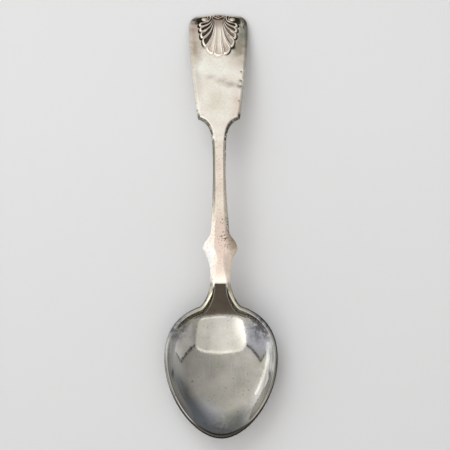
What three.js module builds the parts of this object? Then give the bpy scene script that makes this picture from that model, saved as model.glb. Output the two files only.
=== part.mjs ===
// Coffee spoon of the fiddle pattern with a shell on the end of its handle, in silver.
// Millimetres. +Y runs from the tip of the bowl to the end of the handle, +Z is up.
// The spoon lies as it does on a table, z = 0, on the bottom of its bowl and its handle end.
// A real one is forged and struck from one bar. Each mesh here is one named region of it,
// and neighbours meet face to face on a flat section.
import * as THREE from 'three';
import { mergeVertices } from 'three/addons/utils/BufferGeometryUtils.js';

// Stretches along the spoon, from the tip of the bowl to the end of the handle
const tipToBelly = 22.7;
const bellyToShoulder = 14.4;
const shoulderToNeck = 7.6;
const neckToWing = 8.3;
const wingToShank = 5.3;
const shankTaper = 17.2;
const shankParallel = 9;
const shankFlare = 6.6;
const plateCornerLength = 0.55;
const plateSideLength = 28.35;
const endCornerLength = 4.5;
const endArch = 0.5;

// Widths of the outline at the ends of those stretches
const bowlWidth = 32.2;
const bowlShoulderWidth = 12;
const neckWidth = 5.6;
const wingWidth = 9.94;
const shankRootWidth = 5.24;
const shankWidth = 3.7;
const shankEndWidth = 4.04;
const plateShoulderWidth = 11.8;
const plateCornerWidth = 12.2;
const plateWidth = 17.44;
const endArchWidth = 9.7;

// Widths of the border between the outline and the ridge where the upper face begins
const rimLand = 0.9;
const shoulderLand = 1.15;
const neckBevel = 1.3;
const wingBevel = 3.29;
const shankRootBevel = 1.29;
const shankBevel = 0.82;
const plateBevel = 1;

// Heights of the upper face above the table
const rimHeight = 7;
const rimHeightAtShoulder = 7.75;
const rimRiseLength = 2.6;
const rimSag = 0.1;
const rimClimbLength = 3.15;
const rimClimb = 1.92;
const neckHeight = 12;
const wingHeight = 12.95;
const crownHeight = 13.35;
const shankEndHeight = 11.55;
const plateShoulderHeight = 10.05;
const plateEndHeight = 0.95;

// Thicknesses, each measured upright
const bowlFloor = 0.8;
const rimEdge = 0.95;
const neckThickness = 2.7;
const wingThickness = 2.8;
const crownThickness = 2.2;
const shankEndThickness = 1.8;
const plateShoulderThickness = 1.35;
const plateEndThickness = 1.2;

// How far the border falls from the ridge to the outline, and the smaller border underneath:
// its fall, and its width as a share of the upper one
const rimFall = 0.55;
const neckFall = 0.5;
const wingFall = 1.4;
const shankRootFall = 0.8;
const shankFall = 0.65;
const plateShoulderFall = 0.85;
const plateFall = 0.5;
const plateFallLength = 2;
const plateEndFall = 0.6;
const underFall = 0.1;
const underShare = 0.4;

// The hollow of the bowl: how much fuller than a parabola its inside and its back are, and
// how far toward the tip its deepest places lie from the belly
const bowlFullness = 0.2;
const backFullness = 0.1;
const deepestBeforeBelly = 2.2;
const backDeepestBeforeBelly = 3.7;

// How much the bottom of the bowl has worn down to a flat spot by lying on tables
const bowlWear = 0.06;

// The wall that turns the hollow up to the rim: how far it reaches in from the ridge
const wallAtTip = 7.5;
const wallAtBelly = 6;
const wallAtFloor = 3;
const wallAtTrough = 0.9;
const wallAtNeck = 0.4;
const backWallAtShoulder = 2.4;
const neckFlatLength = 8;

// The fall from the neck into the bowl: the brink where it starts, its steep part, the
// trough at the bowl's shoulders and the place where the floor of the bowl begins
const brinkLength = 1.25;
const brinkDrop = 0.28;
const fallLength = 3.55;
const fallDrop = 3.17;
const troughBeforeShoulder = 0.8;
const troughRise = 4.6;
const floorBeforeShoulder = 5.6;
const floorRise = 1.95;

// How thick the metal is, measured upright, where the back passes under those places
const fallThickness = 2.35;
const troughThickness = 1.75;
const floorThickness = 1;

// Slopes along the spoon, as rise over run toward the handle
const slopes = {
  tipWall: -0.85, floor: 0.42, trough: 0.68, fall: 0.94, brink: 0.33, neck: 0.16, wing: 0.075,
  shankEnd: -0.2, rimAtShoulder: 0.2, rimClimb: 0.55, wallNarrows: -0.6,
  backFloor: 0.36, backTrough: 0.6, backFall: 0.75, backNeck: 0.3,
};

// The heel, a rounded tongue where the neck runs onto the back of the bowl
const heelLength = 14;
const heelWidth = 6;
const heelHeight = 0.5;
const heelFlat = 0.55;

// Where the rows of section points that start at the knots of the outline reach the axis,
// measured along the spoon from each knot
const tipFoot = 8;
const bellyFoot = -2.2;
const shoulderFoot = -6.1;
const plateShoulderFoot = 5;
const plateCornerFoot = 5.3;
const plateSideFoot = -4.5;
const endCornerFoot = -6;
const endFoot = -5;

// The shell and its two beads, laid on the flat upper face of the handle end
const lobeCount = 11;
const shellWidth = 11.6;
const shellReach = 12.3;
const shellSquareness = 2.5;
const shellRootWidth = 4.6;
const shellRootRise = 0.6;
const shellFan = 79;
const shellHeight = 0.62;
const shellEdgeHeight = 0.46;
const fluteDepth = 0.34;
const lobeTipRadius = 0.9;
const lobeBend = 0.08;
const lobeDroop = 0.68;
const shellFromEnd = 2.2;
const beadLength = 1.8;
const beadWidth = 1.3;
const beadHeight = 0.6;
const beadSpacing = 8.2;
const beadAboveShell = 0.15;

const spoonLength = tipToBelly + bellyToShoulder + shoulderToNeck + neckToWing + wingToShank
  + shankTaper + shankParallel + shankFlare + plateCornerLength + plateSideLength
  + endCornerLength + endArch;
const yTip = -spoonLength / 2;
const yBelly = yTip + tipToBelly;
const yShoulder = yBelly + bellyToShoulder;
const yNeck = yShoulder + shoulderToNeck;
const yWing = yNeck + neckToWing;
const yShankRoot = yWing + wingToShank;
const yShank = yShankRoot + shankTaper;
const yShankEnd = yShank + shankParallel;
const yPlate = yShankEnd + shankFlare;
const yPlateCorner = yPlate + plateCornerLength;
const yPlateSide = yPlateCorner + plateSideLength;
const yEndCorner = yPlateSide + endCornerLength;
const yEnd = yEndCorner + endArch;
const yCrown = (yShankRoot + yShank) / 2;
const yDeepest = yBelly - deepestBeforeBelly;
const yBackDeepest = yBelly - backDeepestBeforeBelly;
const yRimRises = yShoulder - rimRiseLength;
const yBrink = yNeck - brinkLength;
const yFall = yBrink - fallLength;
const yRimClimb = yBrink - rimClimbLength;
const yTrough = yShoulder - troughBeforeShoulder;
const yFloor = yShoulder - floorBeforeShoulder;

// The handle end is a flat plate that thins as it slopes down to the table
const plateSlope = (plateShoulderHeight - plateEndHeight) / (yEnd - yPlate);
const plateTaper = (plateShoulderThickness - plateEndThickness) / (yEnd - yPlate);

// The outline of the right half, as knots joined by Bezier curves. lean is the angle in
// degrees from +Y toward +X at which the line arrives and leaves, pull is the length of its
// handle before and after the knot, inset leads to the ridge, and foot leads to the point
// on the axis where the row of section points that starts at the knot ends.
const knots = [
  { at: [0, yTip], lean: [90, 90], pull: [0, 0.463 * bowlWidth / 2], inset: [0, rimLand],
    foot: tipFoot },
  { at: [bowlWidth / 2, yBelly], lean: [0, 0], pull: [0.513 * tipToBelly, 0.552 * bellyToShoulder],
    inset: [-rimLand, 0], foot: bellyFoot },
  { at: [bowlShoulderWidth / 2, yShoulder], lean: [-71.4, -71.4],
    pull: [0.44 * bellyToShoulder, 0.14 * shoulderToNeck],
    inset: [-0.32 * shoulderLand, -0.95 * shoulderLand], foot: shoulderFoot },
  { at: [neckWidth / 2, yNeck], lean: [0, 0], pull: [0.464 * shoulderToNeck, 0.35 * neckToWing],
    inset: [-neckBevel, 0], foot: 0 },
  { at: [wingWidth / 2, yWing], lean: [32.8, -5], pull: [0.46 * neckToWing, 0.615 * wingToShank],
    inset: [-wingBevel, 0], foot: 0 },
  { at: [shankRootWidth / 2, yShankRoot], lean: [-3.4, -3.4],
    pull: [0.445 * wingToShank, 0.35 * shankTaper], inset: [-shankRootBevel, 0], foot: 0 },
  { at: [shankWidth / 2, yShank], lean: [0, 0], pull: [0.35 * shankTaper, 0.42 * shankParallel],
    inset: [-shankBevel, 0], foot: 0 },
  { at: [shankEndWidth / 2, yShankEnd], lean: [5.3, 5.3],
    pull: [0.26 * shankParallel, 0.54 * shankFlare], inset: [-shankBevel, 0], foot: 0 },
  { at: [plateShoulderWidth / 2, yPlate], lean: [68.6, 68.6],
    pull: [0.43 * shankFlare, 0.4 * plateCornerLength],
    inset: [-0.68 * plateBevel, 0.9 * plateBevel], foot: plateShoulderFoot },
  { at: [plateCornerWidth / 2, yPlateCorner], lean: [10.3, 10.3],
    pull: [0.4 * plateCornerLength, 0.2 * plateSideLength],
    inset: [-0.9 * plateBevel, 0.5 * plateBevel], foot: plateCornerFoot },
  { at: [plateWidth / 2, yPlateSide], lean: [0, 0],
    pull: [0.29 * plateSideLength, 0.66 * endCornerLength], inset: [-plateBevel, 0],
    foot: plateSideFoot },
  { at: [endArchWidth / 2, yEndCorner], lean: [-81.4, -81.4],
    pull: [0.69 * endCornerLength, 0.2 * endArchWidth],
    inset: [-0.15 * plateBevel, -0.99 * plateBevel], foot: endCornerFoot },
  { at: [0, yEnd], lean: [-90, -90], pull: [0.17 * endArchWidth, 0], inset: [0, -plateBevel],
    foot: endFoot },
];
const neckKnot = 3;
const shankEndKnot = 7;

// Rows of section points on each stretch between knots
const rowsOnStretch = [12, 12, 8, 6, 6, 5, 3, 6, 1, 5, 6, 4];
const topCells = 9;
const topCrowding = 1.6;
const borderCells = 3;
const backCells = 6;
const cellsAcrossLobe = 4;
const cellsAlongLobe = 10;
const mergeDistance = 1e-4;

const heading = (lean) => {
  const angle = THREE.MathUtils.degToRad(lean);
  return new THREE.Vector2(Math.sin(angle), Math.cos(angle));
};

// One Bezier curve for each stretch, drawn through the knots moved by a share of their inset
function lineAtInset(share) {
  const places = knots.map((knot) => new THREE.Vector2(...knot.at)
    .addScaledVector(new THREE.Vector2(...knot.inset), share));
  return knots.slice(1).map((knot, i) => {
    const before = knots[i];
    const outerChord = new THREE.Vector2(...before.at).distanceTo(new THREE.Vector2(...knot.at));
    const scale = places[i].distanceTo(places[i + 1]) / outerChord;
    return new THREE.CubicBezierCurve(
      places[i],
      places[i].clone().addScaledVector(heading(before.lean[1]), before.pull[1] * scale),
      places[i + 1].clone().addScaledVector(heading(knot.lean[0]), -knot.pull[0] * scale),
      places[i + 1],
    );
  });
}

const outline = lineAtInset(0);
const ridge = lineAtInset(1);

// A height along the spoon: knots of y, height and slope joined by cubics
function profile(...stations) {
  return (y) => {
    const last = stations.length - 1;
    if (y <= stations[0][0]) return stations[0][1];
    if (y >= stations[last][0]) return stations[last][1];
    const i = stations.findIndex((station) => station[0] > y) - 1;
    const [y0, z0, slope0] = stations[i];
    const [y1, z1, slope1] = stations[i + 1];
    const span = y1 - y0;
    const s = (y - y0) / span;
    const rest = 1 - s;
    return z0 * rest * rest * (1 + 2 * s) + slope0 * span * s * rest * rest
      + z1 * s * s * (3 - 2 * s) - slope1 * span * s * s * rest;
  };
}

const brinkHeight = neckHeight - brinkDrop;
const fallHeight = brinkHeight - fallDrop;
const troughHeight = bowlFloor + troughRise;
const floorHeight = bowlFloor + floorRise;

const handleTop = [
  [yNeck, neckHeight, slopes.neck],
  [yWing, wingHeight, slopes.wing],
  [yCrown, crownHeight, 0],
  [yShankEnd, shankEndHeight, slopes.shankEnd],
  [yPlate, plateShoulderHeight, -plateSlope],
  [yEnd, plateEndHeight, -plateSlope],
];

const topAlongAxis = profile(
  [yTip + rimLand, rimHeight, slopes.tipWall],
  [yDeepest, bowlFloor, 0],
  [yFloor, floorHeight, slopes.floor],
  [yTrough, troughHeight, slopes.trough],
  [yFall, fallHeight, slopes.fall],
  [yBrink, brinkHeight, slopes.brink],
  ...handleTop,
);

const topAlongRidge = profile(
  [yTip, rimHeight, 0],
  [yBelly, rimHeight - rimSag, 0],
  [yRimRises, rimHeightAtShoulder, slopes.rimAtShoulder],
  [yRimClimb, brinkHeight - rimClimb, slopes.rimClimb],
  [yBrink, brinkHeight, slopes.brink],
  ...handleTop,
);

const edgeThickness = profile(
  [yTip, rimEdge, 0],
  [yRimRises, rimEdge, 0],
  [yNeck, neckThickness, 0],
  [yWing, wingThickness, 0],
  [yCrown, crownThickness, 0],
  [yShankEnd, shankEndThickness, -plateTaper],
  [yPlate, plateShoulderThickness, -plateTaper],
  [yEnd, plateEndThickness, -plateTaper],
);

const borderFall = profile(
  [yTip, rimFall, 0],
  [yRimRises, rimFall, 0],
  [yNeck, neckFall, 0],
  [yWing, wingFall, 0],
  [yShankRoot, shankRootFall, 0],
  [yCrown, shankFall, 0],
  [yShankEnd, shankFall, 0],
  [yPlate, plateShoulderFall, 0],
  [yPlateCorner + plateFallLength, plateFall, 0],
  [yPlateSide, plateFall, 0],
  [yEnd, plateEndFall, 0],
);

const underside = (y) => topAlongRidge(y) - edgeThickness(y);

const backAlongAxis = profile(
  [yTip, rimHeight - rimEdge, slopes.tipWall],
  [yBackDeepest, -bowlWear, 0],
  [yFloor, floorHeight - floorThickness, slopes.backFloor],
  [yTrough, troughHeight - troughThickness, slopes.backTrough],
  [yFall, fallHeight - fallThickness, slopes.backFall],
  [yNeck, neckHeight - neckThickness, slopes.backNeck],
);

// How far the wall reaches in from the rim, on top and on the back
const wallReach = profile(
  [yTip, wallAtTip, 0],
  [yBelly, wallAtBelly, 0],
  [yFloor, wallAtFloor, slopes.wallNarrows],
  [yTrough, wallAtTrough, 0],
  [yNeck, wallAtNeck, 0],
);
const backWallReach = profile(
  [yTip, wallAtTip, 0],
  [yBelly, wallAtBelly, 0],
  [yShoulder, backWallAtShoulder, 0],
  [yNeck, backWallAtShoulder, 0],
);

// Share of the full depth at a share of the half width: 1 on the axis, 0 at the side
const hollow = (share, fullness) => (1 - share * share) * (1 + fullness * share * share);

// A dish: the cross-section at the belly, carried along the height on the axis and flattened
// up the neck, and raised near the rim to the rim's own height by the square of the share
// that is left of the wall's reach
function dish({ side, axis, reach, half, fullness }) {
  const depth = side(yBelly) - axis(yBelly);
  const plain = (x, y) => axis(y) + depth * (1 - hollow(x / half, fullness))
    * THREE.MathUtils.smoothstep(yNeck - y, 0, neckFlatLength);
  return (x, y, rim) => {
    const away = Math.hypot(x - rim.x, y - rim.y) / reach(rim.y);
    const left = Math.max(1 - away, 0);
    return plain(x, y) + (side(rim.y) - plain(rim.x, rim.y)) * left * left;
  };
}

const hollowTop = dish({
  side: topAlongRidge, axis: topAlongAxis, reach: wallReach,
  half: bowlWidth / 2 - rimLand, fullness: bowlFullness,
});
const hollowBack = dish({
  side: underside, axis: backAlongAxis, reach: backWallReach,
  half: bowlWidth / 2, fullness: backFullness,
});

// Heights of the upper face and of the back at a place of a row whose rim point is given
const upperFace = (x, y, rim) => (rim.y < yNeck ? hollowTop(x, y, rim) : topAlongRidge(y));

// Height of the heel at a place on the back: full inside, none outside, with a soft border
function heel(x, y) {
  const halfHeel = heelWidth / 2;
  const yRound = yNeck - heelLength + halfHeel;
  const away = Math.hypot(x, Math.min(y - yRound, 0)) / halfHeel;
  const lengthwise = THREE.MathUtils.smoothstep(yNeck - y, 0, heelLength / 2);
  return heelHeight * lengthwise * (1 - THREE.MathUtils.smoothstep(away, heelFlat, 1));
}

const backFace = (x, y, rim) => (rim.y < yNeck ? hollowBack(x, y, rim) - heel(x, y) : underside(y));

// The table, z = 0, has worn flat what would reach below it: the bottom of the bowl and the
// lower edge of the handle end
const worn = (z) => Math.max(z, 0);

// Section points of the right half for one row, from the axis on top, out over the ridge
// and the border to the outline, and back underneath to the axis
function halfSection(edgePoint, ridgePoint, footPoint) {
  const points = [];
  const add = (place, z) => points.push(new THREE.Vector3(place.x, place.y, z));
  for (let i = 0; i <= topCells; i += 1) {
    const share = 1 - (1 - i / topCells) ** topCrowding;
    const place = footPoint.clone().lerp(ridgePoint, share);
    add(place, upperFace(place.x, place.y, ridgePoint));
  }
  for (let i = 1; i <= borderCells; i += 1) {
    const turn = (i / borderCells) * Math.PI / 2;
    const place = ridgePoint.clone().lerp(edgePoint, Math.sin(turn));
    add(place, topAlongRidge(place.y) - borderFall(place.y) * (1 - Math.cos(turn)));
  }
  add(edgePoint, worn(underside(edgePoint.y) + underFall));
  const under = edgePoint.clone().lerp(ridgePoint, underShare);
  for (let i = 0; i <= backCells; i += 1) {
    const place = under.clone().lerp(footPoint, i / backCells);
    add(place, worn(backFace(place.x, place.y, edgePoint)));
  }
  return points;
}

// Rings of section points around the whole spoon, from the stretch after one knot to
// another knot. A ring whose outline point lies on the axis is folded flat and closes the end.
function rings(fromKnot, toKnot) {
  const all = [];
  for (let k = fromKnot; k < toKnot; k += 1) {
    const rows = rowsOnStretch[k];
    for (let i = k === fromKnot ? 0 : 1; i <= rows; i += 1) {
      const t = i / rows;
      const edgePoint = outline[k].getPoint(t);
      const ridgePoint = ridge[k].getPoint(t);
      const footOffset = THREE.MathUtils.lerp(knots[k].foot, knots[k + 1].foot, t);
      const footPoint = new THREE.Vector2(0, edgePoint.y + footOffset);
      const right = halfSection(edgePoint, ridgePoint, footPoint);
      const left = right.slice(1, -1).reverse();
      all.push([...right, ...left.map((point) => new THREE.Vector3(-point.x, point.y, point.z))]);
    }
  }
  return all;
}

// A closed skin over the rings, with a fan over each flat end section
function skin(ringList, openStart, openEnd) {
  const size = ringList[0].length;
  const positions = ringList.flat();
  const index = [];
  for (let r = 0; r + 1 < ringList.length; r += 1) {
    for (let i = 0; i < size; i += 1) {
      const a = r * size + i;
      const b = r * size + ((i + 1) % size);
      index.push(a, b, b + size, a, b + size, a + size);
    }
  }
  const fan = (start, flip) => {
    const ring = positions.slice(start, start + size);
    const centre = ring.reduce((sum, point) => sum.add(point), new THREE.Vector3());
    positions.push(centre.divideScalar(size));
    for (let i = 0; i < size; i += 1) {
      const a = start + i;
      const b = start + ((i + 1) % size);
      index.push(...(flip ? [positions.length - 1, b, a] : [positions.length - 1, a, b]));
    }
  };
  if (openStart) fan(0, true);
  if (openEnd) fan((ringList.length - 1) * size, false);
  const geometry = new THREE.BufferGeometry().setFromPoints(positions);
  geometry.setIndex(index);
  return mergeVertices(geometry, mergeDistance);
}

// How far the shell reaches from its root in a direction, on an ellipse made a little squarer
function shellReachAt(sideways, downward) {
  const across = (Math.abs(sideways) / (shellWidth / 2)) ** shellSquareness;
  const along = (Math.abs(downward) / shellReach) ** shellSquareness;
  return (across + along) ** (-1 / shellSquareness);
}

// Where one line of the shell runs: from the narrow root, first down the handle and then
// out to the lobe's tip. fan goes from -1 to 1 across the shell, inLobe across one lobe.
function shellLine(fan, inLobe) {
  const angle = THREE.MathUtils.degToRad(fan * shellFan);
  const sideways = Math.sin(angle);
  const downward = -Math.cos(angle);
  const notch = lobeTipRadius * (1 - Math.sqrt(1 - inLobe * inLobe));
  const tip = shellReachAt(sideways, downward) - notch;
  const rootX = Math.sign(fan) * Math.sqrt(Math.abs(fan)) * shellRootWidth / 2;
  const root = new THREE.Vector2(rootX, shellRootRise * fan * fan);
  const end = new THREE.Vector2(sideways * tip, downward * tip);
  const bend = new THREE.Vector2(root.x + end.x * lobeBend, end.y / 2 - lobeDroop);
  return new THREE.QuadraticBezierCurve(root, bend, end);
}

// Height of the shell above its base: ribs between the lobes, and in each lobe a flute that
// opens after the root and closes before the tip
function shellRelief(along, inLobe) {
  const arch = Math.sin(Math.PI * along);
  const crest = THREE.MathUtils.lerp(shellEdgeHeight, shellHeight, arch);
  return crest - fluteDepth * (1 - inLobe * inLobe) * Math.sqrt(arch);
}

// Points of the shell's upper face, line by line, each line from the root to a lobe's tip
function shellTop(across, along) {
  const points = [];
  for (let i = 0; i <= across; i += 1) {
    const inLobe = ((i % cellsAcrossLobe) / cellsAcrossLobe) * 2 - 1;
    const line = shellLine((i / across) * 2 - 1, inLobe);
    for (let j = 0; j <= along; j += 1) {
      const place = line.getPoint(j / along);
      points.push(new THREE.Vector3(place.x, place.y, shellRelief(j / along, inLobe)));
    }
  }
  return points;
}

// Indices of the points round the border of that face: down the first line, along the tips,
// up the last line and back along the root
function shellBorder(across, along) {
  const border = [];
  for (let j = 0; j <= along; j += 1) border.push(j);
  for (let i = 1; i < across; i += 1) border.push(i * (along + 1) + along);
  for (let j = along; j >= 0; j -= 1) border.push(across * (along + 1) + j);
  for (let i = across - 1; i > 0; i -= 1) border.push(i * (along + 1));
  return border;
}

// The shell, fluted on top, upright round its border and flat underneath
function shellGeometry() {
  const across = lobeCount * cellsAcrossLobe;
  const along = cellsAlongLobe;
  const top = shellTop(across, along);
  const index = [];
  for (let i = 0; i < across; i += 1) {
    for (let j = 0; j < along; j += 1) {
      const a = i * (along + 1) + j;
      const b = a + along + 1;
      index.push(a, a + 1, b + 1, a, b + 1, b);
    }
  }
  const border = shellBorder(across, along);
  const contour = border.map((i) => new THREE.Vector2(top[i].x, top[i].y));
  const base = contour.map((point) => new THREE.Vector3(point.x, point.y, 0));
  const firstBase = top.length;
  border.forEach((upper, i) => {
    const next = (i + 1) % border.length;
    index.push(upper, firstBase + i, firstBase + next, upper, firstBase + next, border[next]);
  });
  THREE.ShapeUtils.triangulateShape(contour, []).forEach(([a, b, c]) => {
    const facesUp = THREE.ShapeUtils.area([contour[a], contour[b], contour[c]]) > 0;
    index.push(...(facesUp ? [a, c, b] : [a, b, c]).map((corner) => firstBase + corner));
  });
  const geometry = new THREE.BufferGeometry().setFromPoints([...top, ...base]);
  geometry.setIndex(index);
  return mergeVertices(geometry, mergeDistance);
}

// An oval bead with a flat base
function beadGeometry() {
  const dome = new THREE.Path();
  dome.absarc(0, 0, 1, 0, Math.PI / 2);
  const points = [new THREE.Vector2(0, 0), ...dome.getPoints(4)];
  points[points.length - 1].x = 0;
  const geometry = new THREE.LatheGeometry(points, 16);
  geometry.deleteAttribute('normal');
  geometry.deleteAttribute('uv');
  geometry.rotateX(Math.PI / 2);
  geometry.scale(beadLength / 2, beadWidth / 2, beadHeight);
  return mergeVertices(geometry, mergeDistance);
}

const polishedSilver = () => new THREE.MeshStandardMaterial({
  color: 0xc9c9c4, roughness: 0.2, metalness: 1,
});
const dullSilver = () => new THREE.MeshStandardMaterial({
  color: 0xd9d3c6, roughness: 0.35, metalness: 1,
});
const struckSilver = () => new THREE.MeshStandardMaterial({
  color: 0xb9b0a2, roughness: 0.4, metalness: 1,
});

function piece(name, geometry, material) {
  const mesh = new THREE.Mesh(geometry, material);
  mesh.name = name;
  return mesh;
}

// The ornament is placed in the sloping plane of the handle end
function ornament() {
  const seat = new THREE.Group();
  const ySeat = yEnd - shellFromEnd;
  seat.position.set(0, ySeat, plateEndHeight + plateSlope * (yEnd - ySeat));
  seat.rotation.x = -Math.atan(plateSlope);
  seat.add(piece('shell', shellGeometry(), struckSilver()));
  const sides = { left_bead: -1, right_bead: 1 };
  Object.entries(sides).forEach(([name, side]) => {
    const bead = piece(name, beadGeometry(), struckSilver());
    bead.position.set(side * beadSpacing / 2, beadAboveShell, 0);
    seat.add(bead);
  });
  return seat;
}

const spoon = new THREE.Group();
const lastKnot = knots.length - 1;
spoon.add(
  piece('bowl', skin(rings(0, neckKnot), false, true), polishedSilver()),
  piece('stem', skin(rings(neckKnot, shankEndKnot), true, true), dullSilver()),
  piece('handle_end', skin(rings(shankEndKnot, lastKnot), true, false), dullSilver()),
  ornament(),
);

export default spoon;
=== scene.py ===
import math

import bmesh
import bpy
import numpy as np
from mathutils import Matrix, Vector


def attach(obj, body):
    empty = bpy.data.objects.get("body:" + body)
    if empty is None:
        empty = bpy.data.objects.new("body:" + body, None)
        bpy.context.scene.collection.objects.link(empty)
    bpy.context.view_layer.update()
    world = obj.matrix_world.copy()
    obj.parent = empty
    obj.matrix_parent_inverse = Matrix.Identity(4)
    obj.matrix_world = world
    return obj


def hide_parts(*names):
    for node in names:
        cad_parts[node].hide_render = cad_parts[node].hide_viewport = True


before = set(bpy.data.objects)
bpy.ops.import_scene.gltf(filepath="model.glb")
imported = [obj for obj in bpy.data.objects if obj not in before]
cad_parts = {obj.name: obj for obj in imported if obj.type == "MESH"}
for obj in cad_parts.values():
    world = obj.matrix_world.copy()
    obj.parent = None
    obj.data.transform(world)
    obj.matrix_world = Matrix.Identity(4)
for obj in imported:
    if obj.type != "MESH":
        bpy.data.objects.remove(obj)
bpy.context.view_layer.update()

# The bowl: an egg-shaped hollow of sheet silver, rolled out from the same bar as the handle,
# struck into a die, then filed round its rim and polished. On its back the neck runs out
# into a rounded heel. All sizes are in millimetres, +Y toward the end of the handle.
MM = 0.001
Y_TIP, Y_BELLY, Y_SHOULDER, Y_NECK = -62.5, -39.8, -25.4, -17.8
BELLY_HALF, RIM_WIDTH = 16.1, 0.9
# Knots of the right half: x, y, lean before and after, pull before and after, inset x and y
# to the ridge, and how far along the axis the knot's row of points ends
NECK_KNOT = (2.8, Y_NECK, 0, 0, 3.526, 2.905, -1.3, 0, 0)
BOWL_KNOTS = (
    (0, Y_TIP, 90, 90, 0, 7.454, 0, RIM_WIDTH, 8),
    (BELLY_HALF, Y_BELLY, 0, 0, 11.645, 7.949, -RIM_WIDTH, 0, -2.2),
    (6, Y_SHOULDER, -71.4, -71.4, 6.336, 1.064, -0.368, -1.0925, -6.1),
    NECK_KNOT,
)
# Rows from knot to knot, and in each row the points over the upper face, the border, the
# side, the lower edge and the back
BOWL_ROWS = (96, 80, 72)
BOWL_CELLS = (36, 12, 3, 4, 24)
# How the points crowd toward the ridge, and how many on each side of the ridge, the outline
# and the lower edge are softened
CROWDING, SOFTENED = 1.7, (5, 3, 4)
# How far the hollow and the back are filled out, the length over which the neck flattens,
# the power of the wall's rise, and how far the lower edge falls and turns in
FULLNESS, BACK_FULLNESS, FLAT_NECK, WALL_POWER = 0.2, 0.1, 8, 2
UNDER_FALL, UNDER_SHARE = 0.1, 0.4
HEEL_LENGTH, HEEL_HALF, HEEL_HEIGHT, HEEL_FLAT = 14, 3, 0.5, 0.55


def heading(lean):
    """Unit vector that many degrees from +Y toward +X."""
    return np.array([math.sin(math.radians(lean)), math.cos(math.radians(lean))])


def bezier(a, b, c, d, t):
    """Cubic Bezier curve: the four points weighted by the terms of (1 - t + t) cubed."""
    t = t[:, None]
    return a * (1 - t) ** 3 + 3 * b * t * (1 - t) ** 2 + 3 * c * t * t * (1 - t) + d * t**3


def rows_between(knots, counts):
    """Outline, ridge and foot of each row. Each stretch of the outline is a cubic Bezier curve
    from knot to knot, the ridge is that curve through the knots moved by their insets, and
    the foot slides along the axis at the outline's y plus a length that changes evenly."""
    edge, ridge, foot = [], [], []
    for first, second, count in zip(knots, knots[1:], counts):
        t = np.linspace(0, 1, count + 1)[1 if edge else 0:]
        outer = np.array([first[:2], second[:2]], float)
        inner = outer + np.array([first[6:8], second[6:8]])
        shrink = np.linalg.norm(inner[1] - inner[0]) / np.linalg.norm(outer[1] - outer[0])
        for ends, reach, line in ((outer, 1, edge), (inner, shrink, ridge)):
            leave = ends[0] + heading(first[3]) * first[5] * reach
            arrive = ends[1] - heading(second[2]) * second[4] * reach
            line.append(bezier(ends[0], leave, arrive, ends[1], t))
        foot.append(edge[-1][:, 1] + first[8] + (second[8] - first[8]) * t)
    return np.concatenate(edge), np.concatenate(ridge), np.concatenate(foot)


PROFILE_STEPS = 6001


def profile(*stations, window=0.6):
    """A height along the spoon from stations of y, height and slope: cubics between them,
    then a running mean over a short window, so that no bend starts with a jerk."""
    y, z, slope = np.array(stations, float).T
    fine = np.linspace(y[0] - window, y[-1] + window, PROFILE_STEPS)
    i = np.clip(np.searchsorted(y, fine, side="right") - 1, 0, len(y) - 2)
    span = y[i + 1] - y[i]
    s = np.clip((fine - y[i]) / span, 0, 1)
    heights = (
        z[i] * (1 + 2 * s) * (1 - s) ** 2 + slope[i] * span * s * (1 - s) ** 2
        + z[i + 1] * s * s * (3 - 2 * s) - slope[i + 1] * span * s * s * (1 - s)
    )
    heights += slope[0] * np.minimum(fine - y[0], 0) + slope[-1] * np.maximum(fine - y[-1], 0)
    cells = max(int(window / (fine[1] - fine[0])), 1)
    padded = np.pad(heights, cells // 2, mode="reflect", reflect_type="odd")
    smooth = np.convolve(padded, np.ones(cells) / cells, mode="same")[cells // 2:][:len(fine)]
    return lambda at: np.interp(at, fine, smooth)


# The handle's own stations come first, because the profiles run on from the bowl into it
Y_WING, Y_SHANK_ROOT, Y_CROWN, Y_SHANK, Y_SHANK_END = -9.5, -4.2, 4.4, 13, 22
Y_PLATE, Y_PLATE_CORNER, Y_PLATE_SIDE, Y_END_CORNER, Y_END = 28.6, 29.15, 57.5, 62, 62.5
# The plate's top falls 9.1 mm over its length, to this height, and it thins by 0.15 mm
PLATE_SLOPE, END_TOP = 9.1 / (Y_END - Y_PLATE), 0.95
PLATE_TAPER = 0.15 / (Y_END - Y_PLATE)
HANDLE_TOP = (
    (Y_NECK, 12, 0.16), (Y_WING, 12.95, 0.075), (Y_CROWN, 13.35, 0),
    (Y_SHANK_END, 11.55, -0.2), (Y_PLATE, 10.05, -PLATE_SLOPE),
    (Y_END, END_TOP, -PLATE_SLOPE),
)
# Heights on the axis, at the ridge and on the back, then the metal's thickness at the edge
# and how far the border falls from the ridge to the outline
axis_height = profile(
    (Y_TIP + RIM_WIDTH, 7, -0.85), (-42, 0.8, 0), (-31, 2.75, 0.42), (-26.2, 5.4, 0.68),
    (-22.6, 8.55, 0.94), (-19.45, 11.45, 0.85), (-19.05, 11.72, 0.33), *HANDLE_TOP,
    window=0.3,
)
ridge_height = profile(
    (Y_TIP, 7, 0), (Y_BELLY, 6.9, 0), (-28, 7.75, 0.2), (-22.2, 9.8, 0.55),
    (-19.05, 11.72, 0.4), *HANDLE_TOP, window=0.3,
)
back_height = profile(
    (Y_TIP, 6.05, -0.85), (-43.5, -0.06, 0), (-31, 1.75, 0.36), (-26.2, 3.65, 0.6),
    (-22.6, 6.2, 0.75), (Y_NECK, 9.3, 0.3),
)
edge_thickness = profile(
    (Y_TIP, 0.95, 0), (-28, 0.95, 0), (Y_NECK, 2.7, 0), (Y_WING, 2.8, 0), (Y_CROWN, 2.2, 0),
    (Y_SHANK_END, 1.8, -PLATE_TAPER), (Y_PLATE, 1.35, -PLATE_TAPER),
    (Y_END, 1.2, -PLATE_TAPER),
)
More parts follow.
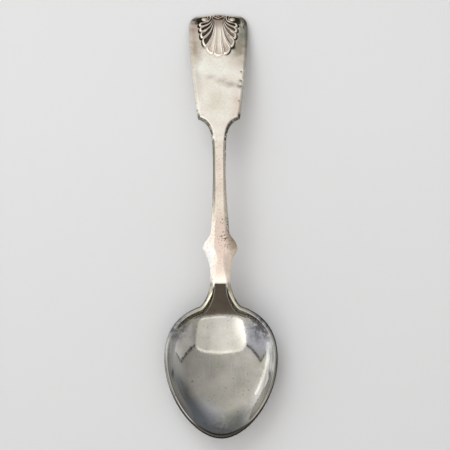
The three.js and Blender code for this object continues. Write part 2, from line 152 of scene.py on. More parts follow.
border_fall = profile(
    (Y_TIP, 0.55, 0), (-28, 0.55, 0), (Y_NECK, 0.5, 0), (Y_WING, 1.4, 0),
    (Y_SHANK_ROOT, 0.8, 0), (Y_CROWN, 0.65, 0), (Y_SHANK_END, 0.65, 0), (Y_PLATE, 0.85, 0),
    (Y_PLATE_CORNER + 2, 0.5, 0), (Y_PLATE_SIDE, 0.5, 0), (Y_END, 0.6, 0),
)
# The power of the border's section: 2 is a quarter of an ellipse and 1 a flat bevel
border_round = profile(
    (Y_TIP, 1.5, 0), (-27, 1.5, 0), (-21, 1.25, 0), (Y_SHANK_END, 1.25, 0),
    (Y_PLATE, 1.05, 0), (Y_PLATE_CORNER + 3, 1.3, 0), (Y_PLATE_SIDE, 1.3, 0), (Y_END, 2.3, 0),
)


def hollow(share, fullness):
    """Share of the full depth at a share of the half width: a parabola, 1 on the axis and 0
    at the side, filled out by a second one."""
    return (1 - share**2) * (1 + fullness * share**2)


def underside(y):
    """Height of the lower edge: the ridge less the metal's thickness."""
    return ridge_height(y) - edge_thickness(y)


def ramp(value, low, high):
    """0 below low, 1 above high and a smooth cubic step between."""
    s = np.clip((value - low) / (high - low), 0, 1)
    return s * s * (3 - 2 * s)


def fade(value, low, high):
    """The same step downward: 1 below low and 0 above high."""
    return 1 - ramp(value, low, high)


BELLY_FLOOR, BELLY_BACK = axis_height(Y_BELLY), back_height(Y_BELLY)
# How far the wall reaches in from the rim, along the spoon: on top it narrows up the neck
wall_reach = profile(
    (Y_TIP, 7.5, 0), (-50, 7, 0), (Y_BELLY, 6, 0.2), (-32, 3.5, -0.4), (-28.5, 1.7, -0.3),
    (-26.5, 1.3, -0.1), (-22, 0.8, -0.1), (Y_NECK, 0.4, 0),
)
back_reach = profile((Y_TIP, 7.5, 0), (Y_BELLY, 6, 0), (-25, 2.4, 0), (Y_NECK, 2.4, 0))


def dished(x, y, rim, low, side, belly, reach):
    """Height of the dish. The cross-section at the belly, a filled-out parabola, is carried
    along the height on the axis, and flattened up the neck. Near the rim it is raised to the
    rim's own height by the square of the share of the wall's reach that is left."""
    half, depth, fullness = belly

    def plain(across, along):
        """The dish without its rim: the axis plus the parabola, flattened up the neck."""
        rise = depth * (1 - hollow(across / half, fullness))
        return low(along) + rise * ramp(Y_NECK - along, 0, FLAT_NECK)

    rim_x, rim_y = rim[:, :1], rim[:, 1:]
    lift = side(rim_y) - plain(rim_x, rim_y)
    left = np.clip(1 - np.hypot(x - rim_x, y - rim_y) / reach(rim_y), 0, 1)
    return plain(x, y) + lift * left**WALL_POWER


def bowl_top(x, y, rim):
    """The hollow of the bowl and the fall from the neck, seen from above."""
    belly = (BELLY_HALF - RIM_WIDTH, ridge_height(Y_BELLY) - BELLY_FLOOR, FULLNESS)
    return dished(x, y, rim, axis_height, ridge_height, belly, wall_reach)


def bowl_back(x, y, rim):
    """The back of the hollow, less the heel: full within its tongue and none outside."""
    away = np.hypot(x, np.minimum(y - (Y_NECK - HEEL_LENGTH + HEEL_HALF), 0)) / HEEL_HALF
    inside = fade(away, HEEL_FLAT, 1)
    heel = HEEL_HEIGHT * ramp(Y_NECK - y, 0, HEEL_LENGTH / 2) * inside
    belly = (BELLY_HALF, underside(Y_BELLY) - BELLY_BACK, BACK_FULLNESS)
    return dished(x, y, rim, back_height, underside, belly, back_reach) - heel


def lerp(a, b, t):
    """The point a share t of the way from a to b."""
    return a + (b - a) * t


def forged(knots, counts, top, back, passes, cells=BOWL_CELLS):
    """Rings of points round the metal, one for each row. The right half goes from the foot
    over the upper face to the ridge, down the border, where (across) to the power n plus
    (down) to the same power is 1, down the side, round the lower edge and along the back to
    the axis. The left half mirrors it. A few passes of a 1-2-1 mean soften the ridge and the
    edges, and what would lie below the table is worn flat."""
    edge, ridge, foot = rows_between(knots, counts)
    axis = np.stack([np.zeros_like(foot), foot], 1)
    upper = 1 - (1 - np.linspace(0, 1, cells[0] + 1)) ** CROWDING
    face = lerp(axis[:, None], ridge[:, None], upper[None, :, None])
    parts = [np.dstack([face, top(face[..., 0], face[..., 1], ridge)])]
    turn = np.linspace(0, math.pi / 2, cells[1] + 1)[None, 1:]
    power = 2 / border_round(ridge[:, 1])[:, None]
    border = lerp(ridge[:, None], edge[:, None], (np.sin(turn) ** power)[..., None])
    fall = border_fall(border[..., 1]) * (1 - np.clip(np.cos(turn), 0, 1) ** power)
    parts.append(np.dstack([border, ridge_height(border[..., 1]) - fall]))
    low = underside(edge[:, 1]) + UNDER_FALL
    down = np.linspace(0, 1, cells[2] + 1)[1:]
    wall = lerp(parts[-1][:, -1:, 2], low[:, None], down[None])
    parts.append(np.dstack([np.repeat(edge[:, None], cells[2], 1), wall]))
    turn = np.linspace(0, math.pi / 2, cells[3] + 1)[None, 1:]
    under = lerp(edge[:, None], ridge[:, None], (UNDER_SHARE * (1 - np.cos(turn)))[..., None])
    lift = UNDER_FALL * (1 - np.sin(turn))
    parts.append(np.dstack([under, back(under[..., 0], under[..., 1], edge) + lift]))
    inward = np.linspace(0, 1, cells[4] + 1)[1:]
    hidden = lerp(under[:, -1:], axis[:, None], inward[None, :, None])
    parts.append(np.dstack([hidden, back(hidden[..., 0], hidden[..., 1], edge)]))
    right = np.concatenate(parts, 1)
    ring = np.concatenate([right, right[:, -2:0:-1] * (-1, 1, 1)], 1)
    count = np.arange(ring.shape[1])
    for corner, reach in zip((cells[0], sum(cells[:2]), sum(cells[:4])), SOFTENED):
        for at in (corner, ring.shape[1] - corner):
            near = np.clip(1 - np.abs(count - at) / reach, 0, 1)[None, :, None]
            for _ in range(passes):
                mean = (np.roll(ring, 1, 1) + 2 * ring + np.roll(ring, -1, 1)) / 4
                ring = lerp(ring, mean, near)
    ring[..., 2] = np.maximum(ring[..., 2], 0)
    return ring


def edge_share(rows, cells=BOWL_CELLS):
    """For each point of forged rings, how far it is from the ridge to the outline: 0 on the
    upper face, rising evenly over the border to 1, and back to 0 round the lower edge."""
    ends = np.cumsum(cells)
    right = np.interp(np.arange(ends[-1] + 1), ends[:4], (0, 1, 1, 0))
    return np.tile(np.concatenate([right, right[-2:0:-1]]), (rows, 1))


def grid_faces(rows, columns, closed):
    """Four-sided faces of a grid of points, with the last column joined to the first."""
    a = np.arange(rows * columns).reshape(rows, columns)
    b = np.roll(a, -1, 1)
    faces = np.stack([a[:-1], b[:-1], b[1:], a[1:]], -1)
    return (faces if closed else faces[:, :-1]).reshape(-1, 4).tolist()


# Distances in metres within which points merge and edges vanish
MERGE_WITHIN, DISSOLVE_BELOW, SHARP_ANGLE = 2e-7, 1e-8, math.radians(50)


def solid(name, points, faces, material, slot, replaced=(), values=()):
    """Makes a closed smooth mesh at the origin from points in millimetres, merges points that
    meet, turns the faces outward and gives it to the frame, in place of the solids named. The
    values are lists of one number for each point, which the material reads by name."""
    mesh = bpy.data.meshes.new(name)
    mesh.from_pydata((points.reshape(-1, 3) * MM).tolist(), [], faces)
    for label, value in dict(values).items():
        layer = mesh.attributes.new(label, "FLOAT", "POINT")
        layer.data.foreach_set("value", np.ravel(value).astype(np.float32))
    work = bmesh.new()
    work.from_mesh(mesh)
    bmesh.ops.remove_doubles(work, verts=work.verts, dist=MERGE_WITHIN)
    bmesh.ops.dissolve_degenerate(work, edges=work.edges, dist=DISSOLVE_BELOW)
    bmesh.ops.recalc_face_normals(work, faces=work.faces)
    work.to_mesh(mesh)
    work.free()
    mesh.shade_smooth()
    mesh.set_sharp_from_angle(angle=SHARP_ANGLE)
    mesh.materials.append(material)
    made = bpy.data.objects.new(name, mesh)
    bpy.context.scene.collection.objects.link(made)
    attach(made, "root")
    if replaced:
        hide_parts(*replaced)


def rings_solid(name, ring, caps, **details):
    """A solid of rings, with a flat face over the first or last ring where caps says so."""
    rows, columns = ring.shape[:2]
    faces = grid_faces(rows, columns, True)
    if caps[0]:
        faces.append(list(range(columns))[::-1])
    if caps[1]:
        faces.append(list(range((rows - 1) * columns, rows * columns)))
    solid(name, ring, faces, **details)


def colour(code):
    """Linear RGBA of an sRGB hex colour."""
    parts = [int(code[i:i + 2], 16) / 255 for i in (0, 2, 4)]
    return [p / 12.92 if p <= 0.04045 else ((p + 0.055) / 1.055) ** 2.4 for p in parts] + [1]


def wire(tree, made, inputs):
    """Sets or links each input of a node by its name or number; a text is a hex colour."""
    for socket, value in inputs.items():
        if isinstance(value, bpy.types.NodeSocket):
            tree.links.new(value, made.inputs[socket])
        else:
            plain = colour(value) if isinstance(value, str) else value
            made.inputs[socket].default_value = plain


def node(tree, kind, inputs, out=0, **settings):
    """Adds a node with its settings and inputs, named or in order, and returns an output."""
    made = tree.nodes.new("ShaderNode" + kind)
    for name, value in settings.items():
        setattr(made, name, value)
    wire(tree, made, inputs if isinstance(inputs, dict) else dict(enumerate(inputs)))
    return made.outputs[out]


def bare_silver(name):
    """A new metal with no colour yet: the material, its node tree and its shader."""
    made = bpy.data.materials.new(name)
    made.use_nodes = True
    shader = made.node_tree.nodes["Principled BSDF"]
    shader.inputs["Metallic"].default_value = 1
    return made, made.node_tree, shader


def millimetres(tree):
    """Object coordinates in millimetres."""
    place = node(tree, "TexCoord", {}, "Object")
    return node(tree, "Mapping", {"Vector": place, "Scale": (1 / MM, 1 / MM, 1 / MM)})


def blotches(tree, where, per_mm, low, high, detail=3.0, roughness=0.5):
    """Cloudy noise with that many blotches to the millimetre, stretched so that a low value
    gives 0 and a high one gives 1."""
    cloud = node(tree, "TexNoise", {
        "Vector": where, "Scale": per_mm, "Detail": detail, "Roughness": roughness}, "Fac")
    return node(tree, "MapRange", {"Value": cloud, "From Min": low, "From Max": high})


def spots(tree, where, *places):
    """1 at each place's centre, falling evenly to 0 at its half sizes, or the larger of two."""
    most = None
    for centre, halves in places:
        moved = node(tree, "Mapping", {"Vector": where, "Location": centre, "Scale": halves},
                     vector_type="TEXTURE")
        share = node(tree, "TexGradient", {"Vector": moved}, "Fac", gradient_type="SPHERICAL")
        if most is not None:
            share = node(tree, "Math", (most, share), operation="MAXIMUM")
        most = share
    return most


def scratches(tree, where, angle, width, length, low=0.62):
    """Thin lines: noise squeezed to a width and drawn out to a length along one direction."""
    turned = node(tree, "Mapping", {
        "Vector": where, "Rotation": (0, 0, math.radians(angle)),
        "Scale": (1 / width, 1 / length, 1 / width)})
    return blotches(tree, turned, 1, low, low + 0.12, 2)


def layered(tree, base, *layers):
    """Lays colours over a colour one after the other, each by its share times its strength."""
    for share, strength, tint in layers:
        if strength < 1:
            share = node(tree, "Math", (share, strength), operation="MULTIPLY")
        base = node(tree, "Mix", {0: share, 6: base, 7: tint}, 2, data_type="RGBA")
    return base


# Places of the bowl's tarnish and marks, and of its painted lighter and cooler reflections:
# centres and half sizes, and where the warmer colour of the neck starts and is full
FRECKLED = ((-12.6, -30.6, 6), (4.4, 5, 6)), ((11.4, -30.8, 5), (5, 6, 7))
DULL_TIP = (0.8, -60.5, 5), (9, 5, 9)
WALL_MARKS = ((-13.7, -44, 6), (0.5, 1.8, 9)), ((13.7, -44.4, 6), (0.5, 1.8, 9))
PAINTED_BRIGHT_PATCHES = ((-13, -45, 5), (3.2, 12, 9)), ((11.2, -53, 5), (3.4, 8, 9))
PAINTED_COOL_PATCHES = ((-7, -56.5, 5), (9, 7, 9)), ((10.3, -33.5, 5), (5, 6.5, 9))
NECK_START, NECK_FULL = -19.3, -18.5

# Polished silver, years after its last polish: a bright metal under a grey film in clouds of
# 6 mm, olive in places, with freckles of 1 mm below the rim and small specks. Painted into
# its colour are lighter and cooler reflections in places, a darker streaked reflection in a
# band on the wall, and a darker reflection over the rim with a dark line along its outer
# edge. Scratches from use, a hundredth of a millimetre wide, are drawn 0.1 mm wide, so that
# they show.
polished_silver, tree, shader = bare_silver("polished_silver")
mm = millimetres(tree)
along = node(tree, "SeparateXYZ", {0: mm}, "Y")
clouds = blotches(tree, mm, 0.16, 0.36, 0.68, 4)
olive = blotches(tree, mm, 0.28, 0.5, 0.7, 3)
specks = blotches(tree, mm, 1.5, 0.66, 0.72, 2)
freckles = blotches(tree, mm, 0.9, 0.32, 0.62, 5, 0.6)
tarnish = node(tree, "Math", (spots(tree, mm, *FRECKLED), 1.8), operation="MULTIPLY")
tarnish = node(tree, "Math", (tarnish, freckles), operation="MULTIPLY")
tip_film = node(tree, "Math", (freckles, 0.7, 0.2), operation="MULTIPLY_ADD")
tip_film = node(tree, "Math", (spots(tree, mm, DULL_TIP), tip_film), operation="MULTIPLY")
for darker in (tip_film, spots(tree, mm, *WALL_MARKS)):
    tarnish = node(tree, "Math", (tarnish, darker), operation="MAXIMUM")
tarnish = node(tree, "Math", (tarnish, 1.0), operation="MINIMUM")
lines = node(tree, "Math", (
    scratches(tree, mm, 24, 0.12, 7), scratches(tree, mm, -35, 0.1, 9)), operation="MAXIMUM")
neck = node(tree, "MapRange", {"Value": along, "From Min": NECK_START, "From Max": NECK_FULL})
# Painted cooler reflection: two bluish patches on the walls
painted_cool = node(tree, "Math", (spots(tree, mm, *PAINTED_COOL_PATCHES), 1.5), operation="MULTIPLY")
painted_cool = node(tree, "Math", (painted_cool, 0.85), operation="MINIMUM")
inward, painted_wall_reflection, painted_dark_rim_band, neck_border, painted_dark_rim_line = [
    node(tree, "Attribute", {}, "Fac", attribute_name=label)
    for label in ("inward", "painted_wall_reflection", "painted_dark_rim_band", "neck_border", "painted_dark_rim_line")]
# The streaks of the painted darker wall reflection run along the rim: 0.6 mm wide and 8 mm
# long
streaks = node(tree, "CombineXYZ", (
    node(tree, "Math", (inward, 1.7), operation="MULTIPLY"),
    node(tree, "Math", (along, 0.12), operation="MULTIPLY")))
streaks = blotches(tree, streaks, 1, 0.36, 0.62, 4)
# The colour, with painted reflections laid in: lighter and cooler patches, a darker streaked
# band on the wall, a darker band over the rim and a dark line along its outer edge
tone = layered(
    tree, "A7A39B", (clouds, 1, "928F88"), (olive, 0.4, "A09F8C"), (neck, 1, "E2D6C8"),
    (painted_wall_reflection, 0.8, layered(tree, "818180", (streaks, 1, "C6C5C0"))),
    (spots(tree, mm, *PAINTED_BRIGHT_PATCHES), 0.8, "DCDAD4"), (painted_cool, 1, "A7A8AC"), (painted_dark_rim_band, 1, "8A8880"),
    (specks, 0.6, "5E5C58"), (lines, 0.3, "CBC9C3"), (tarnish, 1, "606064"),
    (neck_border, 1, "BDB6A0"), (painted_dark_rim_line, 1, "3C3934"))
film = node(tree, "Math", (clouds, 0.03, 0.07), operation="MULTIPLY_ADD")
for share, dulling in ((tarnish, 0.25), (lines, 0.06), (neck, 0.2)):
    film = node(tree, "Math", (share, dulling, film), operation="MULTIPLY_ADD")
height = node(tree, "Math", (clouds, 2.0), operation="MULTIPLY")
height = node(tree, "Math", (lines, -0.6, height), operation="MULTIPLY_ADD")
bumps = node(tree, "Bump", {"Height": height, "Distance": 0.004 * MM, "Strength": 1.0})
wire(tree, shader, {"Base Color": tone, "Roughness": film, "Normal": bumps})

# The dark line painted along the rim's outer edge as a dark reflection: its width along the
# spoon, how softly it ends and how much fainter it is on the left, and the strength of the
# darker reflection painted over the rim's border
LINE_WIDTHS = (Y_TIP, -61, -57, -48, -25), (1.4, 1.3, 0.6, 0.35, 0.3)
LINE_SOFT, LEFT_FAINTER, PAINTED_RIM_BAND = 0.2, 0.6, 0.75

bowl_rings = forged(BOWL_KNOTS, BOWL_ROWS, bowl_top, bowl_back, 3)
bowl_x, bowl_y = bowl_rings[..., 0], bowl_rings[..., 1]
outline_at = np.abs(bowl_rings[:, sum(BOWL_CELLS[:2])])
from_outline = np.hypot(np.abs(bowl_x) - outline_at[:, :1], bowl_y + outline_at[:, 1:2])
line_width = np.interp(bowl_y, *LINE_WIDTHS)
left_side = ramp(-bowl_x, 6, 12) * ramp(bowl_y, -54, -44)
# The rim and wall values below paint darker reflections into the colour
rings_solid(
    "silver_bowl", bowl_rings, (False, True), material=polished_silver,
    slot="polished_silver", replaced=("bowl",), values={
        "painted_dark_rim_line": fade(from_outline, line_width - LINE_SOFT, line_width + LINE_SOFT)
        * (1 - LEFT_FAINTER * left_side) * ramp(-bowl_y, 19, 24),
        "painted_wall_reflection": fade(from_outline, 2.2, 3.8) * ramp(bowl_y, -59, -52)
        * ramp(-bowl_y, 31, 38),
        "inward": from_outline,
        "neck_border": fade(from_outline, 0.9, 1.3) * ramp(bowl_y, -28, -24)
        * fade(bowl_y, -21.5, -18.5),
        "painted_dark_rim_band": PAINTED_RIM_BAND * fade(from_outline, 0.8, 1.3) * ramp(-bowl_y, 34, 44)})

# The stem: the winged neck and the slim shank, forged from the bar and filed to three long
# faces, a flat one on top and a bevel at each side, with a flat back.
SHANK_KNOT = (2.02, Y_SHANK_END, 5.3, 5.3, 2.34, 3.564, -0.82, 0, 0)
STEM_KNOTS = (
    NECK_KNOT,
    (4.97, Y_WING, 32.8, -5, 3.818, 3.26, -3.29, 0, 0),
    (2.62, Y_SHANK_ROOT, -3.4, -3.4, 2.359, 6.02, -1.29, 0, 0),
    (1.85, Y_SHANK, 0, 0, 6.02, 3.78, -0.82, 0, 0),
    SHANK_KNOT,
)
STEM_ROWS = (60, 50, 70, 36)
# The rows near the wing are softened along the spoon, in this many passes
WING_REACH, WING_PASSES = 1.5, 30


def flat_top(x, y, rim):
    """The flat upper face: the height on the axis."""
    return axis_height(y)


def flat_back(x, y, rim):
    """The flat back: the height of the lower edge."""
    return underside(y)


def lay_stains_and_shading(tree, mm, base, stains_and_shading):
    """Lays clouded stains over a colour, each given by its centre on the spoon in millimetres,
    its half sizes across and along, its colour and its strength in the middle. On the stem
    some of them are painted shade and highlight on the faces."""
    cloud = blotches(tree, mm, 0.45, 0.3, 0.7, 4)
    for x, y, across, length, tint, strength in stains_and_shading:
        share = node(tree, "Math", (cloud, strength, strength * 0.8), operation="MULTIPLY_ADD")
        share = node(tree, "Math", (
            spots(tree, mm, ((x, y, 6), (across, length, 30))), share), operation="MULTIPLY")
        share = node(tree, "Math", (share, 1.0), operation="MINIMUM")
        base = layered(tree, base, (share, 1, tint))
    return base


def worn_silver(name, stains_and_shading):
    """Dull silver, handled until its polish went soft: warmer on the stem than on the plate,
    with cloudy stains, a mottle of 0.8 mm, and short wear marks along the handle, drawn 0.2 mm
    wide so that they show. Values on the mesh say where it is blushed, filmed along its edge,
    pitted, hatched, and black with tarnish: whole for soot and broken for flecks. Some of
    these also paint light and shade: the blush also darkens the stem's flat top against its
    bevels, the edge film also stands for darker reflections on the bevels, and soot and
    flecks also paint the shade on the plate's shoulders. The stains can also paint facet
    shade and highlight."""
    made, tree, shader = bare_silver(name)
    mm = millimetres(tree)
    blush_and_facet_shade, edge_film_and_shade, pitted, hatched, soot_and_shade, flecks_and_shade = [
        node(tree, "Attribute", {}, "Fac", attribute_name=label)
        for label in ("blush_and_facet_shade", "edge_film_and_shade", "pitted", "hatched", "soot_and_shade", "flecks_and_shade")]
    along = node(tree, "SeparateXYZ", {0: mm}, "Y")
    warm = node(tree, "MapRange", {"Value": along, "From Min": 34, "From Max": 8})
    clouds = blotches(tree, mm, 0.22, 0.38, 0.66, 4)
    mottle = blotches(tree, mm, 1.3, 0.5, 0.72, 5, 0.6)
    uneven = node(tree, "Math", (mottle, 0.4, 0.7), operation="MULTIPLY_ADD")
    edge_film_and_shade = node(tree, "Math", (edge_film_and_shade, uneven), operation="MULTIPLY")
    edge_film_and_shade = node(tree, "Math", (edge_film_and_shade, 1.0), operation="MINIMUM")
    pits = node(tree, "Math", (blotches(tree, mm, 2.1, 0.58, 0.64, 2), pitted),
                operation="MULTIPLY")
    hatch = node(tree, "Math", [
        scratches(tree, mm, angle, 0.34, 2.4, 0.48) for angle in (40, -34)],
        operation="MAXIMUM")
    hatch = node(tree, "Math", (hatch, hatched), operation="MULTIPLY")
    speckle = node(tree, "Math", (blotches(tree, mm, 1.6, 0.3, 0.6, 4), 0.35, 0.85),
                   operation="MULTIPLY_ADD")
    soot_and_shade = node(tree, "Math", (soot_and_shade, speckle), operation="MULTIPLY")
    flecks_and_shade = node(tree, "Math", (flecks_and_shade, blotches(tree, mm, 1.5, 0.34, 0.5, 3)),
                  operation="MULTIPLY")
    soot_and_shade = node(tree, "Math", (soot_and_shade, flecks_and_shade), operation="MAXIMUM")
    soot_and_shade = node(tree, "Math", (soot_and_shade, 1.0), operation="MINIMUM")
    tone = layered(
        tree, layered(tree, "FFFBF0", (clouds, 1, "F7EFE1")),
        (warm, 1, layered(tree, "EEE3D4", (clouds, 1, "E2D4C5"))), (blush_and_facet_shade, 1, "DAC6B9"))
    tone = layered(
        tree, lay_stains_and_shading(tree, mm, tone, stains_and_shading), (mottle, 0.24, "C9B9A4"),
        (edge_film_and_shade, 1, "878273"), (pits, 1, "5A463C"), (hatch, 1, "4A4438"),
        (soot_and_shade, 1, layered(tree, "26261C", (mottle, 1, "4A4236"))))
    wear = scratches(tree, mm, 4, 0.16, 3, 0.55)
    rough = node(tree, "Math", (clouds, 0.06, 0.34), operation="MULTIPLY_ADD")
    rough = node(tree, "Math", (wear, 0.06, rough), operation="MULTIPLY_ADD")
    height = node(tree, "Math", (mottle, 1.5), operation="MULTIPLY")
    for share, depth in ((wear, 0.4), (pits, -6.0)):
        height = node(tree, "Math", (share, depth, height), operation="MULTIPLY_ADD")
    bumps = node(tree, "Bump", {"Height": height, "Distance": 0.006 * MM, "Strength": 1.0})
    wire(tree, shader, {"Base Color": tone, "Roughness": rough, "Normal": bumps})
    return made


def patch(points, centre, halves):
    """1 at a centre on the spoon, falling smoothly to 0 at the half sizes across and along."""
    x, y = points[..., 0] - centre[0], points[..., 1] - centre[1]
    return fade(np.hypot(x / halves[0], y / halves[1]), 0.2, 1)


# Stains: centre x and y, half sizes across and along, colour and strength. On the stem, the
# pinker and darker patches on the middle at y -10.5 and -14.6 are painted shade of the flat
# top against the bevels, and the pale neutral patch at x -3.5 is a painted highlight on the
# left bevel.
STEM_STAINS_AND_FACET_SHADING = (
    (1.2, -10.5, 3, 9, "DCC5B6", 0.5), (-3.5, -12, 2.4, 8, "EDEBE5", 1.4),
    (3.6, -7.2, 2.4, 5, "B7A08A", 0.85), (2.8, -15, 1, 4, "F6E6CF", 1.2),
    (0, -14.6, 2, 3.6, "DACBBD", 0.9), (0, 14, 1.4, 7, "E6D2C4", 0.5),
)
# The film on the bevels, partly a grey film and partly a painted darker reflection: its
# strength along the spoon, and its share on the right
BEVEL_FILM_AND_SHADE, RIGHT_FILM_AND_SHADE = ((-3, 1, 5, 9, 22), (0, 0.5, 1.1, 1.4, 1.4)), 0.15

stem_rings = forged(STEM_KNOTS, STEM_ROWS, flat_top, flat_back, 2)
for _ in range(WING_PASSES):
    near_wing = np.clip(1 - np.abs(stem_rings[1:-1, :, 1] - Y_WING) / WING_REACH, 0, 1)
    heights = stem_rings[..., 2]
    mean = (heights[:-2] + 2 * heights[1:-1] + heights[2:]) / 4
    stem_rings[1:-1, :, 2] = lerp(heights[1:-1], mean, near_wing)
stem_edge = edge_share(len(stem_rings))
stem_x, stem_y = stem_rings[..., 0], stem_rings[..., 1]
rings_solid(
    "silver_stem", stem_rings, (True, True), slot="dull_silver", replaced=("stem",),
    material=worn_silver("dull_silver_stem", STEM_STAINS_AND_FACET_SHADING), values={
        # Film and painted darker reflection on the bevels, mostly on the left
        "edge_film_and_shade": ramp(stem_edge, 0.02, 0.3) * np.interp(stem_y, *BEVEL_FILM_AND_SHADE)
        * np.where(stem_x < 0, 1, RIGHT_FILM_AND_SHADE),
        "flecks_and_shade": np.maximum(
            ramp(stem_edge, 0.5, 0.8) * ramp(stem_y, 13, 19),
            0.8 * ramp(stem_edge, 0.5, 0.9) * patch(stem_rings, (2.6, -2), (1.5, 4))),
        "pitted": np.maximum(0.25, patch(stem_rings, (1.8, -4.6), (5, 8))),
        # The flat top is painted pinker and darker than the bevels: a warm blush and painted
        # shade between the faces
        "blush_and_facet_shade": 0.85 * fade(stem_edge, 0, 0.08) * fade(stem_y, -2, 3)
        * ramp(stem_y, -17.8, -15.3)})

# The handle end: the flared plate of a fiddle pattern, hammered out of the bar, sheared to
# its outline and struck with the shell, in a sunk ground that has gone dark.
PLATE_KNOTS = (
    SHANK_KNOT,
    (5.9, Y_PLATE, 68.6, 68.6, 2.838, 0.22, -0.68, 0.9, 5),
    (6.1, Y_PLATE_CORNER, 10.3, 10.3, 0.22, 5.67, -0.9, 0.5, 5.3),
    (8.72, Y_PLATE_SIDE, 0, 0, 8.222, 2.97, -1, 0, -4.5),
    (4.85, Y_END_CORNER, -81.4, -81.4, 3.105, 1.94, -0.15, -0.99, -6),
    (0, Y_END, -90, -90, 1.649, 0, 0, -1, -5),
)
PLATE_ROWS = (50, 14, 190, 60, 50)
PLATE_CELLS = (90, 12, 3, 4, 16)
# The shell's root on the axis, its lobes and the ground that the die sank round it, with the
# strength of the groove across the fan of lobes
SHELL_TILT, SEAT_Y = math.atan(PLATE_SLOPE), 60.3
LOBES, SHELL_FAN = 11, math.radians(79)
SHELL_HALF, SHELL_REACH, SQUARENESS, LOBE_TIP = 5.8, 12.3, 2.3, 0.9
GROUND_DEPTH, GROUND_HALF, GROUND_START = 0.16, 6.6, -1.35
GROOVE, GROOVE_SOFT, SIDE_SOFT, START_SOFT = 0.38, 0.25, 0.7, 0.35
GROOVE_SHARE = (-0.4, -0.25, 0.1, 0.2), (1, 0.1, 0.1, 1)


def shell_edge(angle):
    """How far the shell reaches from its root at an angle from the handle's axis: an ellipse
    made squarer, with a round tip on each of the equal lobes."""
    inside = (angle / SHELL_FAN + 1) / 2 * LOBES % 1 * 2 - 1
    across = (np.abs(np.sin(angle)) / SHELL_HALF) ** SQUARENESS
    along = (np.abs(np.cos(angle)) / SHELL_REACH) ** SQUARENESS
    reach = (across + along) ** (-1 / SQUARENESS)
    return reach - LOBE_TIP * (1 - np.sqrt(np.clip(1 - inside**2, 0, 1)))


def sunk_ground(x, y):
    """1 on the ground that the die sank round the ornament and 0 elsewhere: all of the plate's
    end between the corners, and a groove round the side lobes that fades toward the tip."""
    v = (y - SEAT_Y) / math.cos(SHELL_TILT)
    angle = np.arctan2(x, -v)
    away = np.hypot(x, v) - shell_edge(np.clip(angle, -SHELL_FAN, SHELL_FAN))
    share = np.interp(angle / SHELL_FAN, *GROOVE_SHARE)
    groove = fade(away, GROOVE, GROOVE + GROOVE_SOFT) * share * (np.abs(angle) < SHELL_FAN)
    end = fade(np.abs(x), GROUND_HALF - SIDE_SOFT, GROUND_HALF + SIDE_SOFT)
    end = end * ramp(v, GROUND_START - START_SOFT, GROUND_START + START_SOFT)
    return np.maximum(groove, end)


PLATE_STAINS = (
    (0, 54.5, 12, 8.5, "C6BCAC", 0.45), (6.4, 51.5, 5, 8, "A59A8A", 0.9),
    (-7.4, 57.4, 2.2, 3.6, "A88C85", 0.8), (-6.9, 51, 2.8, 9, "BBAB9A", 0.8),
    (-6.3, 42, 2, 9, "DBD6CC", 0.6), (0, 61.2, 2.8, 1.1, "84584B", 2.2),
    (7.3, 55.6, 2.6, 5.5, "8B8C7E", 0.9), (7.6, 60.5, 3.6, 2.6, "7A7266", 0.8),
    (-7.2, 60.6, 2.6, 2, "8A7E76", 0.7), (-2.4, 41.8, 2.6, 1.3, "CCC5B6", 0.5),
    (0.8, 40.5, 2.6, 1.3, "C9C1B2", 0.6), (3.4, 39.4, 3, 1.4, "C6BEAF", 0.7),
    (5, 33, 2.4, 6, "E4C9BA", 0.5), (-4.6, 44.8, 3, 2.6, "FFFDF0", 0.9),
    (1.6, 43.2, 2.8, 1.5, "FFFDF2", 0.8), (0, 34, 6, 6, "EAE4D2", 0.7),
    (4, 46.5, 4, 3, "E6DAC8", 0.5),
)
# Dents on the plate's edge: x, y, radius and depth, and how dark they are
NICKS = (
    (6.3, 39.0, 0.7, 0.3), (6.5, 40.6, 0.5, 0.25), (6.7, 43.5, 0.3, 0.2),
    (-6.4, 31.2, 0.35, 0.2), (5.9, 34.2, 0.3, 0.15),
)
NICK_FLECKS = 0.8
# The film on the edge, partly a grey film and partly a painted darker reflection, grows
# toward the end on the right and is even on the left
RIGHT_EDGE_FILM_AND_SHADE, LEFT_EDGE_FILM_AND_SHADE = ((50, 57), (0.34, 0.75)), 0.5

plate_rings = forged(PLATE_KNOTS, PLATE_ROWS, flat_top, flat_back, 3, cells=PLATE_CELLS)
plate_edge = edge_share(len(plate_rings), PLATE_CELLS)
plate_x, plate_y = plate_rings[..., 0], plate_rings[..., 1]
is_top = plate_rings[..., 2] > underside(plate_y) + 0.5
ground = sunk_ground(plate_x, plate_y) * is_top * fade(plate_edge, 0.12, 0.4)
plate_rings[..., 2] -= GROUND_DEPTH * ground
# Soot lies in the ground, less at the middle of the end, and in one spot; on the shoulders
# the same dark soot and flecks are painted shade on the border
middle = 1 - 0.35 * fade(np.abs(plate_x), 1.7, 2.1) * ramp(plate_y, 60.2, 60.6)
